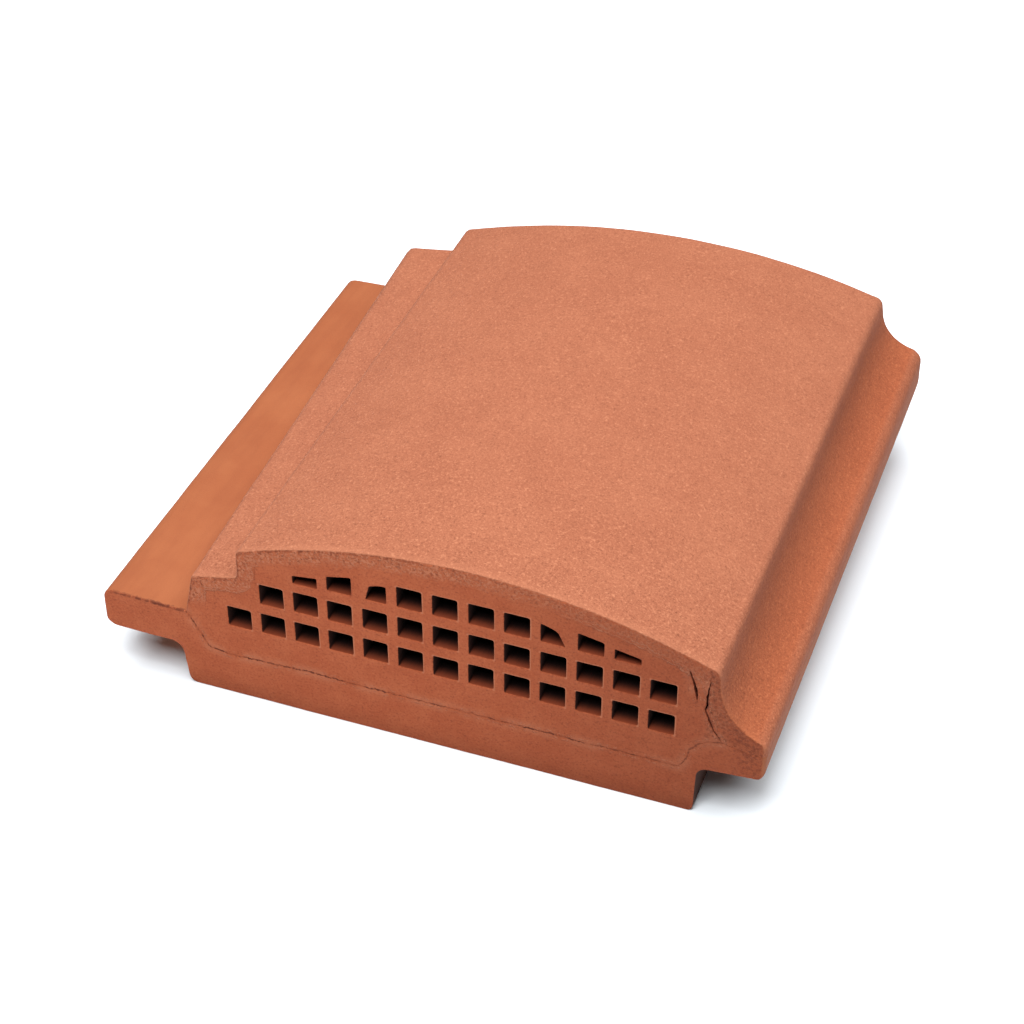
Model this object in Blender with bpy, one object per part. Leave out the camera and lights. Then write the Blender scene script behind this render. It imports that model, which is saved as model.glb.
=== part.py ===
"""Roof vent tile: a clay base tile, a perforated clay grille and an arched clay hood.

X runs across the roof, Y up the slope away from the grilled front, Z up.
The origin is at the middle of the footprint, on the surface the tile rests on.
All sizes are in metres. Sections are drawn as (x, z) and run from front to back.
"""

import math

import bmesh
import bpy

COLLECTION_NAME = "roof_vent_tile"
CUTTER_COLLECTION = "cutters"

# Whole tile
TILE_WIDTH = 0.334
TILE_LENGTH = 0.3207  # along the right side, which is the longer one
HOOD_SKEW = 0.040  # how much shorter the hood is for each metre to the left
BASE_SKEW = 0.054  # and the base tile
JOINT = 0.0003  # dry gap left between two luted pieces
CORNER_STEPS = 4  # facets on a rounded corner

# Base tile
SHELF_REACH = 0.0435  # side-lap shelf, outwards from the body's left side
COVER_REACH = 0.0335  # side-lap cover, outwards from the body's right side
SHELF_UNDERSIDE = 0.025
SHELF_TOP = 0.046
SHELF_FLAT_END = 0.014  # where the shelf starts to fall to the pan, outwards from the body's side
COVER_UNDERSIDE = 0.030
COVER_EDGE_RISE = 0.007  # how much higher the cover's lower edge is at the back
COVER_SEAT = 0.0455  # top of the base under the hood's right leg
BODY_DRAFT = 0.0015
EDGE_ROUND = 0.0045
SHELF_ARRIS = 0.0025
FLANGE_FILLET = 0.006
# Cheeks of the pan, from the pan up: (inwards from the body's side, height)
LEFT_CHEEK = ((0.0155, 0.0262), (0.0110, 0.0290), (0.0040, 0.0435), (0.0015, 0.0455))
RIGHT_CHEEK = ((0.0078, 0.0266), (0.0040, 0.0310), (0.0015, 0.0390), (-0.0030, COVER_SEAT))

# Hood
SHELL = 0.009
LEDGE_FOOT = 0.0020  # inwards from the body's left side
LEDGE_OUTER = (0.0070, 0.0690)
LEDGE_INNER = (0.0315, 0.0735)
LEDGE_FLARE = 0.0155  # how much further left the ledge's outer edge is at the back than at the front
LEDGE_INNER_FLARE = 0.0115  # the same for its inner edge
CREST_FLARE = 0.0055  # and for the crest's left edge
LEDGE_RISE = 0.0024  # how much higher the ledge's outer edge is at the back
LEDGE_WALL = ((0.0120, 0.0470), (0.0155, 0.0600), (0.0405, 0.0645))  # inner face
FOOT_TIP = (0.0080, 0.0360)
CREST_INSET = 0.0316  # crest's left edge, inwards from the body's left side
CREST_SETBACK = 0.0410  # its inner face, inwards from the body's left side
CREST_OVERHANG = 0.0099  # crest's right edge, outwards from the body's right side
CREST_ROUND = 0.0035
# The arch, at the front and at the back
CROWN_TOP = (0.1115, 0.1087)
ARCH_RADIUS = (0.317, 0.395)
ARCH_OFFSET = (0.0225, 0.0237)  # middle of the arch, to the right of the tile's middle
ARCH_STEPS = 28
SCOTIA_RADIUS = 0.0319
SCOTIA_CENTRE = (0.0423, 0.0817)  # outwards from the body's right side, height
SCOTIA_ANGLES = (183, 247)
SCOTIA_STEPS = 10
COVER_TOP = 0.0529
COVER_RISE = 0.0098  # how much higher the cover's top is at the back
COVER_ROUND = 0.006
COVER_ROUND_END = 66  # where the rounding runs out into the scotia, in degrees
# Inner face of the right leg: (outwards from the body's right side, height)
LEG_FACE = ((0.0130, 0.0458), (0.0110, 0.0505), (0.0050, 0.0650), (0.0045, 0.0780))
BACK_WALL = 0.010

# Grille
GRILLE_DEPTH = 0.060
GRILLE_HEADROOM = 0.0008  # left above the block, because the hood's crown falls towards the back
HOLE_PITCH = 0.0175
ROW_PITCH = 0.0183
HOLE_WIDTH = 0.0124
HOLE_HEIGHT = 0.0119
FIRST_COLUMN = 0.0316  # middle of the first column, inwards from the body's left side
BOTTOM_ROW = 0.0504  # height of the bottom row's middle
HOLE_LIMIT = 0.0153  # how far below the hood's top the holes are cut off
SMALLEST_HOLE = 0.001
ROW_COLUMNS = (range(0, 13), range(1, 13), range(2, 12))

# Air outlet through the pan
THROAT_WIDTH = 0.160
THROAT_LENGTH = 0.090
THROAT_CENTRE = (0.005, 0.060)
THROAT_CORNER = 0.012
CUT_MARGIN = 0.010  # how far a cutter runs past what it cuts

LEFT = -TILE_WIDTH / 2
RIGHT = TILE_WIDTH / 2
FRONT = -TILE_LENGTH / 2
BACK = TILE_LENGTH / 2
BODY_LEFT = LEFT + SHELF_REACH
BODY_RIGHT = RIGHT - COVER_REACH


def clear_scene():
    """Remove every object of the scene this is run in."""
    for old in list(bpy.data.objects):
        bpy.data.objects.remove(old, do_unlink=True)


def make_collection(name):
    """A new collection, linked to the scene."""
    collection = bpy.data.collections.new(name)
    bpy.context.scene.collection.children.link(collection)
    return collection


def clay(name, color, roughness):
    """A fired clay material."""
    material = bpy.data.materials.new(name)
    material.use_nodes = True
    shader = material.node_tree.nodes["Principled BSDF"]
    shader.inputs["Base Color"].default_value = (*color, 1.0)
    shader.inputs["Roughness"].default_value = roughness
    shader.inputs["Metallic"].default_value = 0.0
    return material


def from_left(points, shift_x=0.0, shift_z=0.0):
    """Points measured inwards from the body's left side."""
    return [(BODY_LEFT + x + shift_x, z + shift_z) for x, z in points]


def from_right(points, shift_x=0.0, shift_z=0.0):
    """Points measured outwards from the body's right side."""
    return [(BODY_RIGHT + x + shift_x, z + shift_z) for x, z in points]


def mirrored(points):
    """The same points, measured the other way."""
    return [(-x, z) for x, z in points]


def arc(centre, radius, start_deg, end_deg, steps):
    """Points on an arc, both ends included."""
    points = []
    for i in range(steps + 1):
        angle = math.radians(start_deg + (end_deg - start_deg) * i / steps)
        points.append((centre[0] + radius * math.cos(angle), centre[1] + radius * math.sin(angle)))
    return points


def corner(x, z, radius, start_deg, end_deg):
    """A rounded corner about the centre (x, z)."""
    return arc((x, z), radius, start_deg, end_deg, CORNER_STEPS)


def between(ends, along):
    """A value that goes from the first of two ends at the front to the second at the back."""
    return ends[0] + (ends[1] - ends[0]) * along


def arch_height(x, drop=0.0, along=0.0):
    """Height of the hood's arch at x, or of an arch that runs the drop below it."""
    radius = between(ARCH_RADIUS, along)
    across = x - between(ARCH_OFFSET, along)
    return between(CROWN_TOP, along) - radius + math.sqrt((radius - drop) ** 2 - across ** 2)


def arch(x_from, x_to, drop=0.0, along=0.0):
    """Points along the arch from one x to another."""
    stations = [x_from + (x_to - x_from) * i / ARCH_STEPS for i in range(ARCH_STEPS + 1)]
    return [(x, arch_height(x, drop, along)) for x in stations]


def base_outline(along=0.0):
    """Section of the base tile, anticlockwise from the body's lower left corner."""
    cover_edge = COVER_UNDERSIDE + EDGE_ROUND + COVER_EDGE_RISE * along
    foot_left = BODY_LEFT + BODY_DRAFT + EDGE_ROUND
    foot_right = BODY_RIGHT - BODY_DRAFT - EDGE_ROUND
    points = corner(foot_left, EDGE_ROUND, EDGE_ROUND, 180, 270)
    points += corner(foot_right, EDGE_ROUND, EDGE_ROUND, 270, 360)
    points += corner(BODY_RIGHT + FLANGE_FILLET, COVER_UNDERSIDE - FLANGE_FILLET, FLANGE_FILLET, 180, 90)
    points += corner(RIGHT - EDGE_ROUND, cover_edge, EDGE_ROUND, 270, 360)
    points.append((RIGHT, COVER_SEAT))
    points += reversed(from_right(mirrored(RIGHT_CHEEK)))
    points += from_left(LEFT_CHEEK)
    points.append((BODY_LEFT - SHELF_FLAT_END, SHELF_TOP))
    points += corner(LEFT + SHELF_ARRIS, SHELF_TOP - SHELF_ARRIS, SHELF_ARRIS, 90, 180)
    points += corner(LEFT + EDGE_ROUND, SHELF_UNDERSIDE + EDGE_ROUND, EDGE_ROUND, 180, 270)
    points += corner(BODY_LEFT - FLANGE_FILLET, SHELF_UNDERSIDE - FLANGE_FILLET, FLANGE_FILLET, 90, 0)
    return points


def inner_outline(gap=0.0, headroom=0.0, along=0.0):
    """Inner faces of the hood, anticlockwise from the right leg's foot to the ledge's foot."""
    crest_left = BODY_LEFT + CREST_SETBACK + gap - CREST_FLARE * along
    crest_right = BODY_RIGHT + LEG_FACE[-1][0] - gap
    wall_foot, wall_top, ledge_end = LEDGE_WALL
    points = from_right(LEG_FACE, -gap)
    points += arch(crest_right, crest_left, SHELL + gap + headroom, along)
    points += from_left([ledge_end], gap - LEDGE_INNER_FLARE * along, -gap)
    points += from_left([wall_top], gap - LEDGE_FLARE * along, -gap)
    points += from_left([wall_foot], gap - LEDGE_FLARE * along)
    return points


def scotia(along=0.0):
    """The hollow down the right leg, from the cover to the crest. Both ends rise towards the back."""
    crest = BODY_RIGHT + CREST_OVERHANG
    crest_rise = arch_height(crest, 0.0, along) - arch_height(crest)
    centre = from_right([SCOTIA_CENTRE])[0]
    points = list(reversed(arc(centre, SCOTIA_RADIUS, *SCOTIA_ANGLES, SCOTIA_STEPS)))
    rises = [between((COVER_RISE * along, crest_rise), i / SCOTIA_STEPS) for i in range(len(points))]
    return [(x, z + rise) for (x, z), rise in zip(points, rises)]


def hood_outline(along=0.0):
    """Outer section of the hood and its back wall, anticlockwise from the ledge's foot."""
    seat = COVER_SEAT + JOINT
    shelf = SHELF_TOP + JOINT
    cover_top = COVER_TOP - COVER_ROUND + COVER_RISE * along
    crest_right = BODY_RIGHT + CREST_OVERHANG - CREST_ROUND
    crest_left = BODY_LEFT + CREST_INSET + CREST_ROUND - CREST_FLARE * along
    points = [(BODY_LEFT + LEDGE_FOOT - LEDGE_FLARE * along, shelf)]
    points.append((BODY_LEFT + LEDGE_FOOT + JOINT, shelf))
    points += reversed(from_left(LEFT_CHEEK[:3], JOINT, JOINT))
    points += from_right(mirrored(RIGHT_CHEEK), -JOINT, JOINT)
    points.append((RIGHT, seat))
    points += corner(RIGHT - COVER_ROUND, cover_top, COVER_ROUND, 0, COVER_ROUND_END)
    points += scotia(along)
    points += corner(crest_right, arch_height(crest_right, 0.0, along) - CREST_ROUND, CREST_ROUND, 0, 68)
    points += arch(crest_right, crest_left, 0.0, along)
    points += corner(crest_left, arch_height(crest_left, 0.0, along) - CREST_ROUND, CREST_ROUND, 110, 180)
    points += from_left([LEDGE_INNER], -LEDGE_INNER_FLARE * along)
    points += from_left([LEDGE_OUTER], -LEDGE_FLARE * along, LEDGE_RISE * along)
    return points


def cavity_outline(along=0.0):
    """Section of the air chamber, carried down past the hood's foot."""
    below = LEFT_CHEEK[0][1] - CUT_MARGIN
    wall_foot = LEDGE_WALL[0]
    foot_slope = (wall_foot[0] - FOOT_TIP[0]) / (wall_foot[1] - FOOT_TIP[1])
    leg_slope = (LEG_FACE[0][0] - LEG_FACE[1][0]) / (LEG_FACE[1][1] - LEG_FACE[0][1])
    points = inner_outline(0.0, 0.0, along)
    points += from_left([(FOOT_TIP[0] + foot_slope * (below - FOOT_TIP[1]), below)])
    points += from_right([(LEG_FACE[0][0] + leg_slope * (LEG_FACE[0][1] - below), below)])
    return points


def grille_outline():
    """Section of the grille block, which fills the front of the chamber."""
    points = inner_outline(JOINT, GRILLE_HEADROOM)
    points += from_left([FOOT_TIP], 3 * JOINT)
    points += reversed(from_left(LEFT_CHEEK[:2], JOINT, JOINT))
    points += from_right(mirrored(RIGHT_CHEEK), -JOINT, JOINT)
    return points


def hole_outline(row, column):
    """One air hole, its top cut to the arch, or None where too little is left of it."""
    middle_x = BODY_LEFT + FIRST_COLUMN + column * HOLE_PITCH
    middle_z = BOTTOM_ROW + row * ROW_PITCH
    low = middle_z - HOLE_HEIGHT / 2
    high = middle_z + HOLE_HEIGHT / 2
    left = middle_x - HOLE_WIDTH / 2
    right = middle_x + HOLE_WIDTH / 2
    top_left = min(high, arch_height(left, HOLE_LIMIT))
    top_right = min(high, arch_height(right, HOLE_LIMIT))
    if min(top_left, top_right) < low + SMALLEST_HOLE:
        return None
    return [(left, low), (right, low), (right, top_right), (left, top_left)]


def throat_outline():
    """Rounded rectangle of the air outlet, as (x, y)."""
    half_x = THROAT_WIDTH / 2 - THROAT_CORNER
    half_y = THROAT_LENGTH / 2 - THROAT_CORNER
    points = []
    for i, (side_x, side_y) in enumerate(((1, 1), (-1, 1), (-1, -1), (1, -1))):
        centre = (THROAT_CENTRE[0] + side_x * half_x, THROAT_CENTRE[1] + side_y * half_y)
        points += arc(centre, THROAT_CORNER, 90 * i, 90 * i + 90, CORNER_STEPS)
    return points


def extruded(name, outlines, thickness):
    """A flat outline with its holes, extruded and welded into one mesh object."""
    curve = bpy.data.curves.new(name, "CURVE")
    curve.dimensions = "2D"
    curve.fill_mode = "BOTH"
    curve.extrude = thickness / 2
    for outline in outlines:
        spline = curve.splines.new("POLY")
        spline.points.add(len(outline) - 1)
        for point, (x, y) in zip(spline.points, outline):
            point.co = (x, y, 0.0, 1.0)
        spline.use_cyclic_u = True
    guide = bpy.data.objects.new(name + "_curve", curve)
    bpy.context.scene.collection.objects.link(guide)
    bpy.context.view_layer.update()
    evaluated = guide.evaluated_get(bpy.context.evaluated_depsgraph_get())
    mesh = bpy.data.meshes.new_from_object(evaluated)
    bpy.data.objects.remove(guide, do_unlink=True)
    bm = bmesh.new()
    bm.from_mesh(mesh)
    bmesh.ops.remove_doubles(bm, verts=bm.verts, dist=0.00002)
    bmesh.ops.recalc_face_normals(bm, faces=bm.faces)
    bm.to_mesh(mesh)
    bm.free()
    return bpy.data.objects.new(name, mesh)


def stand_up(section, y_from, y_to):
    """Turn a section drawn flat so that it runs from one y to the other."""
    section.rotation_euler = (math.pi / 2, 0.0, 0.0)
    section.location = (0.0, (y_from + y_to) / 2, 0.0)


def lofted(name, front, back, y_from, y_to, skew):
    """A solid between two sections with the same number of points, its back end cut at the skew."""
    bm = bmesh.new()
    near = [bm.verts.new((x, y_from, z)) for x, z in front]
    far = [bm.verts.new((x, y_to - skew * (RIGHT - x), z)) for x, z in back]
    bm.faces.new(near)
    bm.faces.new(list(reversed(far)))
    for i in range(len(near)):
        j = (i + 1) % len(near)
        bm.faces.new((near[i], far[i], far[j], near[j]))
    bm.normal_update()
    bmesh.ops.triangulate(bm, faces=bm.faces)
    mesh = bpy.data.meshes.new(name)
    bm.to_mesh(mesh)
    bm.free()
    return bpy.data.objects.new(name, mesh)


def cut(target, cutter, cutters):
    """Subtract the cutter from the target."""
    cutters.objects.link(cutter)
    cutter.hide_render = True
    cutter.display_type = "WIRE"
    boolean = target.modifiers.new("cut_" + cutter.name, "BOOLEAN")
    boolean.operation = "DIFFERENCE"
    boolean.solver = "EXACT"
    boolean.object = cutter


def make_base_tile(cutters):
    """The tile itself, with its pan, both side laps and the air outlet."""
    base = lofted("base_tile", base_outline(0.0), base_outline(1.0), FRONT, BACK, BASE_SKEW)
    throat = extruded("throat", [throat_outline()], LEFT_CHEEK[0][1] + 2 * CUT_MARGIN)
    throat.location = (0.0, 0.0, LEFT_CHEEK[0][1] / 2)
    cut(base, throat, cutters)
    return base


def make_grille():
    """The slice of perforated block that closes the front of the chamber."""
    outlines = [grille_outline()]
    for row, columns in enumerate(ROW_COLUMNS):
        for column in columns:
            hole = hole_outline(row, column)
            if hole:
                outlines.append(hole)
    grille = extruded("vent_grille", outlines, GRILLE_DEPTH)
    stand_up(grille, FRONT, FRONT + GRILLE_DEPTH)
    return grille


def make_hood(cutters):
    """The arched shell with its stepped ledge, its right leg and its back wall."""
    hood = lofted("hood", hood_outline(0.0), hood_outline(1.0), FRONT, BACK, HOOD_SKEW)
    near = cavity_outline(-CUT_MARGIN / TILE_LENGTH)
    far = cavity_outline(1.0 - BACK_WALL / TILE_LENGTH)
    chamber = lofted("chamber", near, far, FRONT - CUT_MARGIN, BACK - BACK_WALL, HOOD_SKEW)
    cut(hood, chamber, cutters)
    return hood


def build():
    """Make the three clay pieces and place them in one collection."""
    clear_scene()
    tile = make_collection(COLLECTION_NAME)
    cutters = make_collection(CUTTER_COLLECTION)
    pieces = (
        (make_base_tile(cutters), clay("base_clay", (0.48, 0.17, 0.075), 0.85)),
        (make_grille(), clay("grille_clay", (0.38, 0.12, 0.055), 0.88)),
        (make_hood(cutters), clay("hood_clay", (0.60, 0.22, 0.12), 0.85)),
    )
    for piece, material in pieces:
        piece.data.materials.clear()
        piece.data.materials.append(material)
        tile.objects.link(piece)


build()
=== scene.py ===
import math

import bmesh
import bpy
import numpy as np
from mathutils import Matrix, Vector, noise
from mathutils.geometry import delaunay_2d_cdt
from mathutils.kdtree import KDTree


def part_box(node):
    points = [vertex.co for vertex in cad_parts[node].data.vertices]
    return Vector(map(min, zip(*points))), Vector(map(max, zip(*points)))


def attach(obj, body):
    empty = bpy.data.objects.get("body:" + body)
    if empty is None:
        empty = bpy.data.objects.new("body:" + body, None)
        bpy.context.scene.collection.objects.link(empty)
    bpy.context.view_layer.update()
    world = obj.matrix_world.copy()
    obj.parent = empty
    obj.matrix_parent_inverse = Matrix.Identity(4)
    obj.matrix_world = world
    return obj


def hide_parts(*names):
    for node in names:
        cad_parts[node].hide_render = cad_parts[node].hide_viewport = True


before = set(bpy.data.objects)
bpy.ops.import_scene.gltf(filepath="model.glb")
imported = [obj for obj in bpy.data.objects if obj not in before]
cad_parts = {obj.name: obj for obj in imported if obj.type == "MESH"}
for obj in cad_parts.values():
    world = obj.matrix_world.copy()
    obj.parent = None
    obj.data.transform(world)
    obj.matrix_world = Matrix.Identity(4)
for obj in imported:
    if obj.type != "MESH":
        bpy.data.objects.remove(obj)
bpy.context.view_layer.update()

# Clay roof vent tile: a base tile, a perforated grille and an arched hood, luted together and fired.
# Sections are drawn in millimetres: x from the body's left side, z from the ground, seen from the front.

mm = 0.001
baseLow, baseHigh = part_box("base_tile")
grilleLow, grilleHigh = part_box("vent_grille")
hoodLow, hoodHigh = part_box("hood")
frontY, backY = baseLow.y, baseHigh.y
tileLength = backY - frontY
bodyLeft = baseLow.x + 43.5 * mm
crownTop = hoodHigh.z / mm
hoodSkew = 0.040  # the back is cut askew: this much shorter for each step to the left
baseSkew = 0.054


# node helpers, shared by the geometry trees and the materials

def socketNamed(sockets, name):
    if isinstance(name, int):
        return sockets[name]
    return next(s for s in sockets if s.name == name and s.enabled)


def feed(socket, value):
    if isinstance(value, bpy.types.NodeSocket):
        socket.id_data.links.new(value, socket)
    else:
        socket.default_value = value


def addNode(tree, kind, inputs=None, **settings):
    node = tree.nodes.new(kind)
    for name, value in settings.items():
        setattr(node, name, value)
    for name, value in (inputs or {}).items():
        feed(socketNamed(node.inputs, name), value)
    return node


def geometry(tree, kind, inputs=None, **settings):
    # the first output of a new geometry node
    return addNode(tree, "GeometryNode" + kind, inputs, **settings).outputs[0]


def treeOf(*values):
    # the tree that the sockets among the values belong to
    return next(v for v in values if isinstance(v, bpy.types.NodeSocket)).id_data


def maths(operation, *values, clamp=False):
    node = addNode(treeOf(*values), "ShaderNodeMath", operation=operation, use_clamp=clamp)
    for socket, value in zip(node.inputs, values):
        feed(socket, value)
    return node.outputs[0]


def chained(operation, values):
    total = values[0]
    for value in values[1:]:
        total = maths(operation, total, value)
    return total


def plus(*values):
    return chained("ADD", values)


def minus(*values):
    return chained("SUBTRACT", values)


def times(*values):
    return chained("MULTIPLY", values)


def vectorMaths(operation, *values):
    node = addNode(treeOf(*values), "ShaderNodeVectorMath", operation=operation)
    sockets = [s for s in node.inputs if s.enabled]
    for socket, value in zip(sockets, values):
        feed(socket, value)
    return next(s for s in node.outputs if s.enabled)


def split(vector):
    return addNode(treeOf(vector), "ShaderNodeSeparateXYZ", {0: vector}).outputs


def combined(x, y, z):
    return addNode(treeOf(x, y, z), "ShaderNodeCombineXYZ", {"X": x, "Y": y, "Z": z}).outputs[0]


def remap(value, fromLow, fromHigh, toLow=0.0, toHigh=1.0):
    wanted = {"Value": value, "From Min": fromLow, "From Max": fromHigh, "To Min": toLow, "To Max": toHigh}
    return addNode(treeOf(value), "ShaderNodeMapRange", wanted, interpolation_type="SMOOTHSTEP").outputs[0]


def fadeOut(value, low, high):
    return remap(value, low, high, 1.0, 0.0)


def blend(share, low, high):
    return addNode(treeOf(share), "ShaderNodeMix", {"Factor": share, "A": low, "B": high}).outputs[0]


def blendColors(share, low, high, how="MIX"):
    wanted = {"Factor": share, "A": low, "B": high}
    return addNode(treeOf(share), "ShaderNodeMix", wanted, data_type="RGBA", blend_type=how).outputs[2]


def cloud(place, size, detail=3.0, roughness=0.55, distortion=0.0, part="Fac"):
    # soft noise whose lumps are about size metres across
    wanted = {"Vector": place, "Scale": 1.0 / size, "Detail": detail}
    wanted.update({"Roughness": roughness, "Distortion": distortion})
    return addNode(treeOf(place), "ShaderNodeTexNoise", wanted).outputs[part]


def attribute(tree, name, kind="FLOAT"):
    return geometry(tree, "InputNamedAttribute", {"Name": name}, data_type=kind)


def newMaterial(name):
    material = bpy.data.materials.new(name)
    material.use_nodes = True
    return material, material.node_tree


def feedShader(tree, values):
    for label, value in values.items():
        feed(tree.nodes["Principled BSDF"].inputs[label], value)


def newObject(name, data):
    made = bpy.data.objects.new(name, data)
    bpy.context.scene.collection.objects.link(made)
    return made


# section drawing

def softLine(corners, steps=5):
    # corners are (x, z), then a radius that rounds the corner, then how far left and up it is at the back
    points = []
    for i, corner in enumerate(corners):
        x, z, radius, spread, rise = (*corner, 0.0, 0.0, 0.0)[:5]
        if not radius or i in (0, len(corners) - 1):
            points.append((x, z, -spread, rise))
            continue
        here = np.array((x, z))
        toBefore = np.array(corners[i - 1][:2]) - here
        toAfter = np.array(corners[i + 1][:2]) - here
        toBefore /= np.linalg.norm(toBefore)
        toAfter /= np.linalg.norm(toAfter)
        half = math.acos(float(toBefore @ toAfter)) / 2
        middle = (toBefore + toAfter) / np.linalg.norm(toBefore + toAfter)
        centre = here + middle * radius / math.sin(half)
        start = here + toBefore * radius / math.tan(half) - centre
        end = here + toAfter * radius / math.tan(half) - centre
        for k in range(steps + 1):
            spoke = start + (end - start) * k / steps
            spot = centre + spoke / np.linalg.norm(spoke) * radius
            points.append((spot[0], spot[1], -spread, rise))
    return points


def arcLine(centre, radius, fromDegrees, toDegrees, steps=12, startMove=(0.0, 0.0), endMove=None):
    # the moves are how far the arc's two ends have moved at the back
    angles = np.radians(np.linspace(fromDegrees, toDegrees, steps + 1))
    moves = np.linspace(startMove, endMove or startMove, steps + 1)
    xs, zs = centre[0] + radius * np.cos(angles), centre[1] + radius * np.sin(angles)
    return [(x, z, *move) for x, z, move in zip(xs, zs, moves)]


def paired(front, back):
    # the line at the front, with the moves that make it the other line at the back
    return [(x, z, backX - x, backZ - z) for (x, z, _, _), (backX, backZ, _, _) in zip(front, back)]


def run(points, spacing, arris):
    # evenly spaced samples along a line: x, z, how far both have moved at the back, arris
    line = np.array(points)
    steps = np.hypot(*np.diff(line[:, :2], axis=0).T)
    along = np.concatenate(([0.0], np.cumsum(steps)))
    wanted = np.linspace(0.0, along[-1], max(1, round(along[-1] / spacing)) + 1)
    columns = [np.interp(wanted, along, line[:, c]) for c in range(4)]
    return np.column_stack((*columns, np.full(len(wanted), arris)))


def sideStep(samples, widths):
    # moves the samples to the right of the line's own direction, by widths in millimetres
    moved = samples.copy()
    slope = np.gradient(samples[:, :2], axis=0)
    slope /= np.linalg.norm(slope, axis=1)[:, None]
    moved[:, 0] += slope[:, 1] * widths
    moved[:, 1] -= slope[:, 0] * widths
    return moved


def wobble(samples, size, seed):
    # smooth noise from -1 to 1 along a run
    return np.array([noise.noise(Vector((x / size, z / size, seed))) for x, z in samples[:, :2]])


def endFade(samples):
    # 1 along most of a run, 0 at its two ends
    return np.sin(np.linspace(0.0, math.pi, len(samples))) ** 0.3


def closedLoop(*runs):
    samples = np.concatenate(runs)
    gaps = np.hypot(*(samples[:, :2] - np.roll(samples[:, :2], 1, axis=0)).T)
    return samples[gaps > 0.001]


# the tile's own lines

arch = {
    "radius": 317.0,
    "middle": 146.0,
    "shell": 9.0,  # the hood's wall under the crown
    "shellAtCrack": 7.2,  # and where the right-hand crack starts
    "thinFrom": 225.0,  # the wall gets thinner between these two
    "thinTo": 253.4,
    "crestLeft": 35.1,
    "crestRight": 262.9,
    "backRadius": 395.0,  # the same at the back
    "backMiddle": 147.2,
    "backTop": 108.7,
    "backLeft": 32.1,
    "backRight": 261.4,
    "crestRounds": (4.0, 5.5),  # rounding at the front and at the back
    "shoulderRounds": (3.5, 6.0),
    "coverRounds": (6.0, 8.0),
    "scotiaMiddle": (299.3, 81.7),  # the hollow down the right side
    "scotiaRadius": 31.9,
    "ledgeSpread": 15.5,  # how far left the ledge's outer edge is at the back, and the two edges inside it
    "stepSpread": 11.5,
    "crestSpread": 5.5,
    "coverRise": 9.8,
}

# where several lines meet
seamEnd = (290.4, 44.2)
ledgeFoot = (2.0, 45.9)
panLeft = (7.9, 36.0)
panRight = (270.0, 47.2)

lines = {
    # where the base tile meets the pieces luted on it
    "seamLeft": ((*ledgeFoot, 0, arch["ledgeSpread"]), (4.4, 42.6, 2), panLeft),
    "seamPan": (
        panLeft, (13.2, 26.6, 3), (23.0, 25.0, 8), (48.0, 25.6, 40), (66.0, 26.4, 20), (90.0, 25.9, 20),
        (150.0, 26.1, 40), (190.0, 26.3, 20), (207.0, 25.8, 8), (218.0, 26.3, 8), (237.0, 26.2, 8),
        (250.2, 26.2, 3), (253.8, 31.8, 2), (255.2, 38.5, 4), (259.4, 43.4, 4), (264.0, 46.1, 4), panRight,
    ),
    "seamRight": (panRight, (276.2, 45.7, 8), (283, 44.4, 10), (*seamEnd, 0, -0.8)),
    # inner border of the hood, where the grille starts
    "innerLeft": (
        panLeft, (12.0, 47.0, 6, arch["ledgeSpread"]), (15.0, 59.6, 3, arch["ledgeSpread"]),
        (40.6, 64.6, 2, arch["stepSpread"]), (41.2, 80.0, 0, arch["crestSpread"]),
    ),
    "innerRight": (
        (253.4, 85.5), (258.0, 84.9, 4), (263.1, 82.6, 1.5), (262.3, 76.5, 1), (262.1, 70.0, 1),
        (262.4, 67.3, 0.5), (261.4, 64.6, 0.5), (263.2, 60.2, 3), (264.4, 57.2, 3), (265.8, 53.5, 3),
        (268.0, 50.5, 2), panRight,
    ),
    # a split down from the right end of the arch, and the split's width along it
    "crackA": (
        (253.0, 85.5), (253.8, 82.8, 0.5), (254.9, 80.0, 0.5), (256.0, 75.7, 0.5), (256.8, 71.6, 0.5),
        (257.1, 68.4),
    ),
}


def archHeight(x, drop=0.0):
    return crownTop - arch["radius"] + math.sqrt((arch["radius"] - drop) ** 2 - (x - arch["middle"]) ** 2)


def backHeight(x, drop=0.0):
    across = x - arch["backMiddle"]
    return arch["backTop"] - arch["backRadius"] + math.sqrt((arch["backRadius"] - drop) ** 2 - across ** 2)


def atBack(x, drop=0.0):
    # how far a point of the arch has moved at the back, where the arch is flatter
    front, back = (arch["crestLeft"], arch["crestRight"]), (arch["backLeft"], arch["backRight"])
    backX = float(np.interp(x, front, back))
    return backX - x, backHeight(backX, drop) - archHeight(x, drop)


def archLine(fromX, toX, drop=lambda x: 0.0, steps=60):
    stations = np.linspace(fromX, toX, steps + 1)
    return [(x, archHeight(x, drop(x)), *atBack(x, drop(x))) for x in stations]


def shellDrop(x):
    share = min(max((x - arch["thinFrom"]) / (arch["thinTo"] - arch["thinFrom"]), 0.0), 1.0)
    return arch["shell"] + (arch["shellAtCrack"] - arch["shell"]) * share * share * (3 - 2 * share)


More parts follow.
